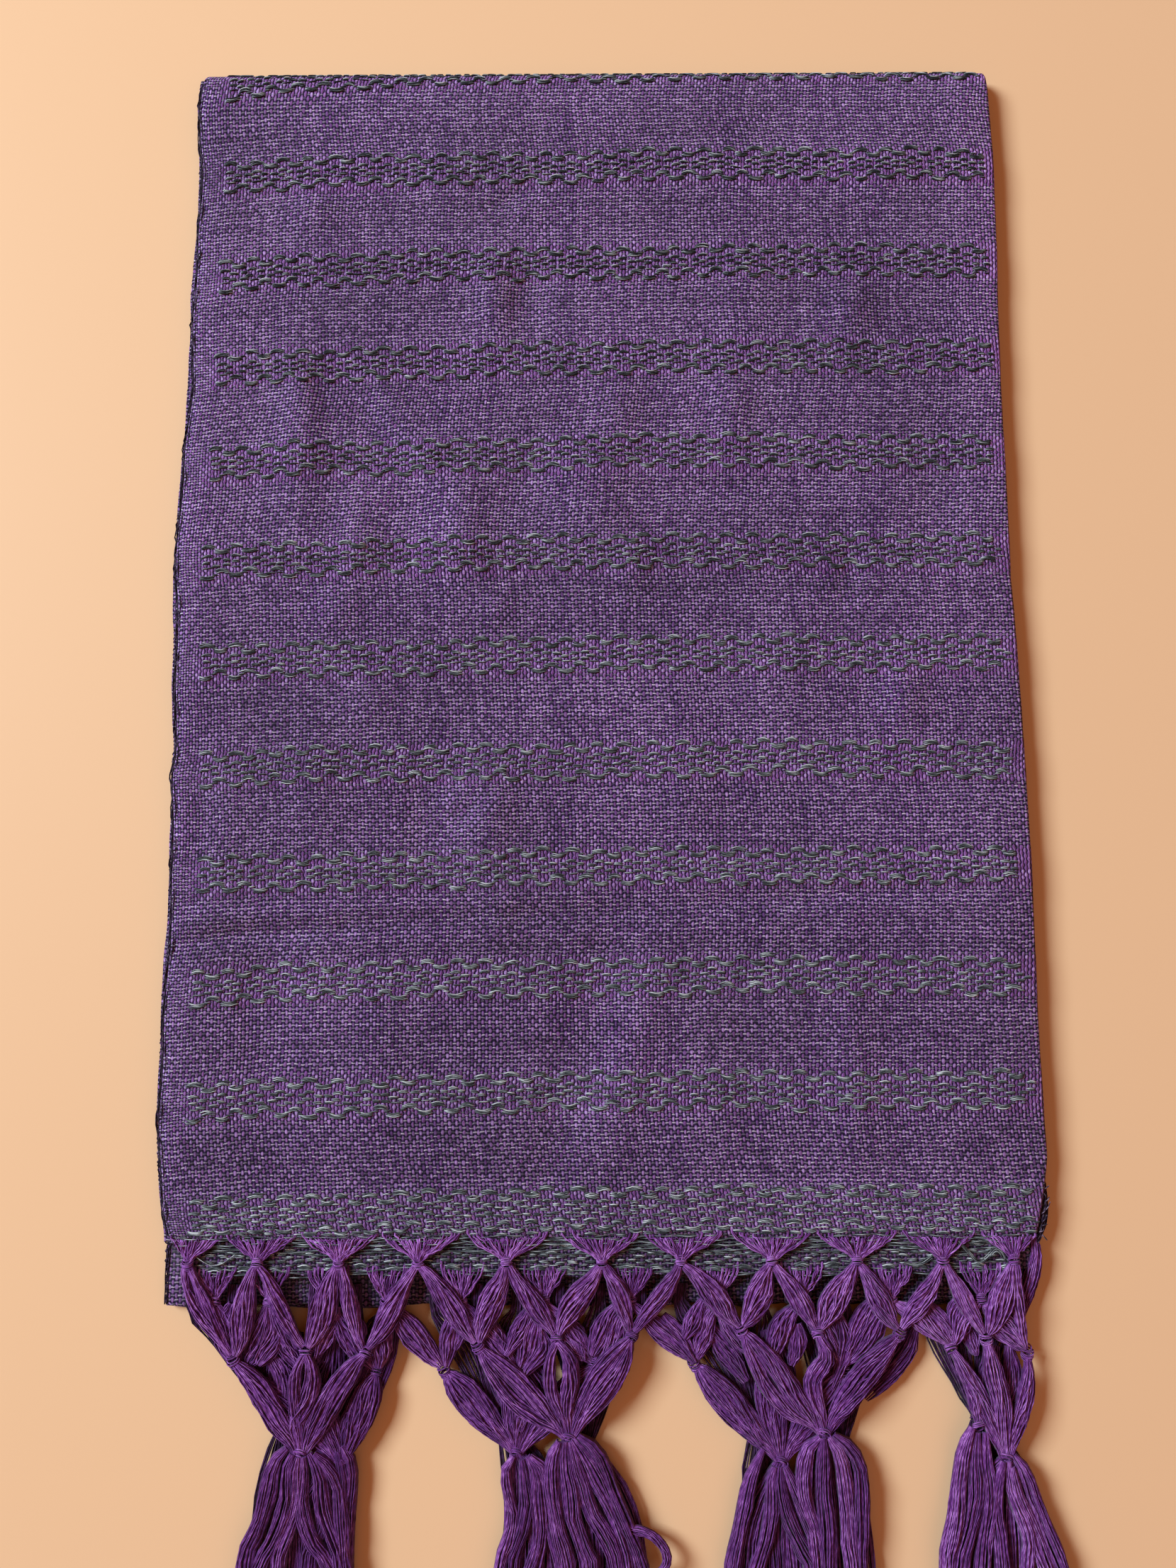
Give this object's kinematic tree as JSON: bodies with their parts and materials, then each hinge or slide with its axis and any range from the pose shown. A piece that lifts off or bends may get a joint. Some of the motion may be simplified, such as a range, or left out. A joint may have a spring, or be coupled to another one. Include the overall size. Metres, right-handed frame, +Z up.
{
  "type": "folded rebozo shawl",
  "caption": "Long woven cotton shawl folded into a flat rectangle, with grey brocade bands on purple and a finger-knotted fringe spreading from one end.",
  "frame": {"origin": "middle of the cloth's flat underside, on the surface it lies on", "axes": "+X across the cloth from the selvedges to the lengthwise fold, +Y from the fringe to the top fold, +Z up"},
  "size_m": [0.3438, 0.6845, 0.0099],
  "materials": {
    "woven_cloth": "coarse matt plain weave of doubled purple warp and grey plied weft, with raised grey brocade bands",
    "woven_cloth_under": "the same weave seen at the folded edges, matt",
    "fringe_cotton": "loose matt cotton yarn, purple, finger-knotted",
    "brocade_weft": "soft two-ply cotton weft, charcoal twisted with light grey"
  },
  "bodies": {
    "root": {"cloth_top_layer": "woven_cloth", "cloth_inner_layers": "woven_cloth_under", "fringe_edge_upper": "fringe_cotton", "fringe_edge_lower": "fringe_cotton", "tassel_1": "fringe_cotton", "tassel_2": "fringe_cotton", "tassel_3": "fringe_cotton", "tassel_4": "fringe_cotton", "tassel_5": "fringe_cotton", "tassel_6": "fringe_cotton", "tassel_7": "fringe_cotton", "tassel_under_1": "fringe_cotton", "tassel_under_2": "fringe_cotton", "tassel_under_3": "fringe_cotton", "tassel_under_4": "fringe_cotton", "tassel_under_5": "fringe_cotton", "tassel_under_6": "fringe_cotton", "tassel_under_7": "fringe_cotton"}
  },
  "joints": []
}
